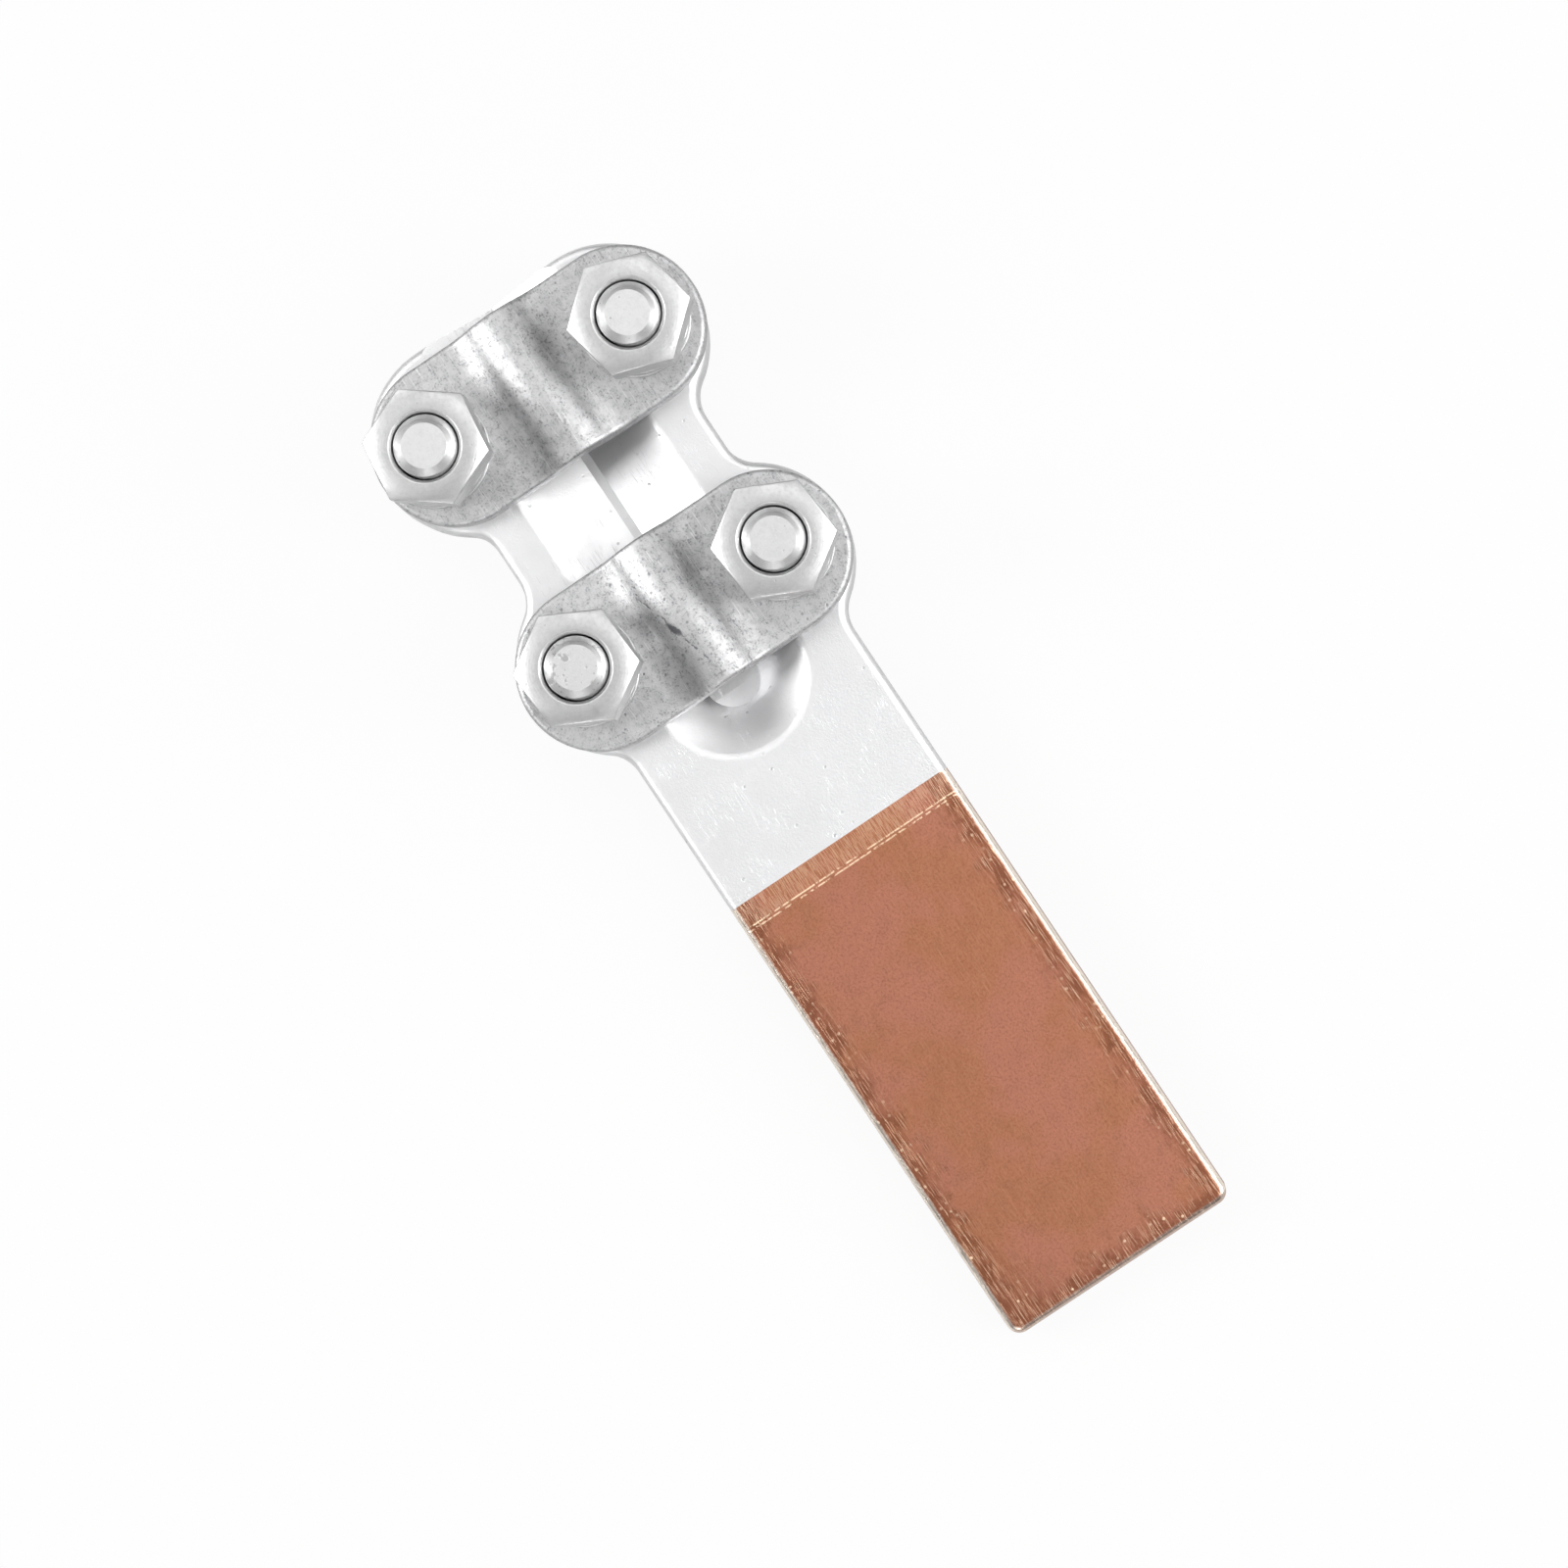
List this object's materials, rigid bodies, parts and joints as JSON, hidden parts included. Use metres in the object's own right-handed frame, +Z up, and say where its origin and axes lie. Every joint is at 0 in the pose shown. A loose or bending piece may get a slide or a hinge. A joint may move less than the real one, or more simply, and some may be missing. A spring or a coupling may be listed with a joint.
{
  "type": "bolted copper-aluminium terminal clamp",
  "caption": "Bolted cable terminal clamp: grooved aluminium body with arched keeper plates pulled down by hex bolts, joined to a blank flat copper palm for a busbar connection.",
  "frame": {"origin": "centre of the copper palm's top face", "axes": "+X along the centreline towards the palm's free end, +Y towards the left-hand bolts seen from the cable entry, +Z up out of the palm's top face, the side the nuts stand on"},
  "size_m": [0.1785, 0.058, 0.0314],
  "materials": {
    "aluminium_casting": "bead-blasted casting",
    "copper": "brushed bare copper, lightly toned",
    "zinc_plate": "hot-dip galvanised, dull grey",
    "zinc_fastener": "galvanised, satin"
  },
  "bodies": {
    "base": {"clamp_body": "aluminium_casting", "copper_palm": "copper", "outer_left_bolt": "zinc_fastener", "outer_right_bolt": "zinc_fastener", "inner_left_bolt": "zinc_fastener", "inner_right_bolt": "zinc_fastener"},
    "outer_plate": {"outer_clamp_plate": "zinc_plate", "outer_left_flat_washer": "zinc_fastener", "outer_left_spring_washer": "zinc_fastener", "outer_right_flat_washer": "zinc_fastener", "outer_right_spring_washer": "zinc_fastener"},
    "outer_left_nut": {"outer_left_nut": "zinc_fastener"},
    "outer_right_nut": {"outer_right_nut": "zinc_fastener"},
    "inner_plate": {"inner_clamp_plate": "zinc_plate", "inner_left_flat_washer": "zinc_fastener", "inner_left_spring_washer": "zinc_fastener", "inner_right_flat_washer": "zinc_fastener", "inner_right_spring_washer": "zinc_fastener"},
    "inner_left_nut": {"inner_left_nut": "zinc_fastener"},
    "inner_right_nut": {"inner_right_nut": "zinc_fastener"}
  },
  "joints": [
    {"name": "outer_plate_lift", "type": "slide", "parent": "base", "child": "outer_plate", "axis": [0, 0, 1], "range_m": [0, 0.0045]},
    {"name": "outer_left_nut_turn", "type": "hinge", "parent": "outer_plate", "child": "outer_left_nut", "pos_m": [-0.1233, 0.0185, 0.0078], "axis": [0, 0, 1], "range_deg": [0, 1080]},
    {"name": "outer_right_nut_turn", "type": "hinge", "parent": "outer_plate", "child": "outer_right_nut", "pos_m": [-0.12385, -0.0185, 0.0078], "axis": [0, 0, 1], "range_deg": [0, 1080]},
    {"name": "inner_plate_lift", "type": "slide", "parent": "base", "child": "inner_plate", "axis": [0, 0, 1], "range_m": [0, 0.0045]},
    {"name": "inner_left_nut_turn", "type": "hinge", "parent": "inner_plate", "child": "inner_left_nut", "pos_m": [-0.08235, 0.0178, 0.0078], "axis": [0, 0, 1], "range_deg": [0, 1080]},
    {"name": "inner_right_nut_turn", "type": "hinge", "parent": "inner_plate", "child": "inner_right_nut", "pos_m": [-0.0829, -0.01805, 0.0078], "axis": [0, 0, 1], "range_deg": [0, 1080]}
  ],
  "couplings": [
    {"joint": "outer_left_nut_turn", "follows": "outer_plate_lift", "rad_per_m": 4188.8},
    {"joint": "outer_right_nut_turn", "follows": "outer_plate_lift", "rad_per_m": 4188.8},
    {"joint": "inner_left_nut_turn", "follows": "inner_plate_lift", "rad_per_m": 4188.8},
    {"joint": "inner_right_nut_turn", "follows": "inner_plate_lift", "rad_per_m": 4188.8}
  ]
}
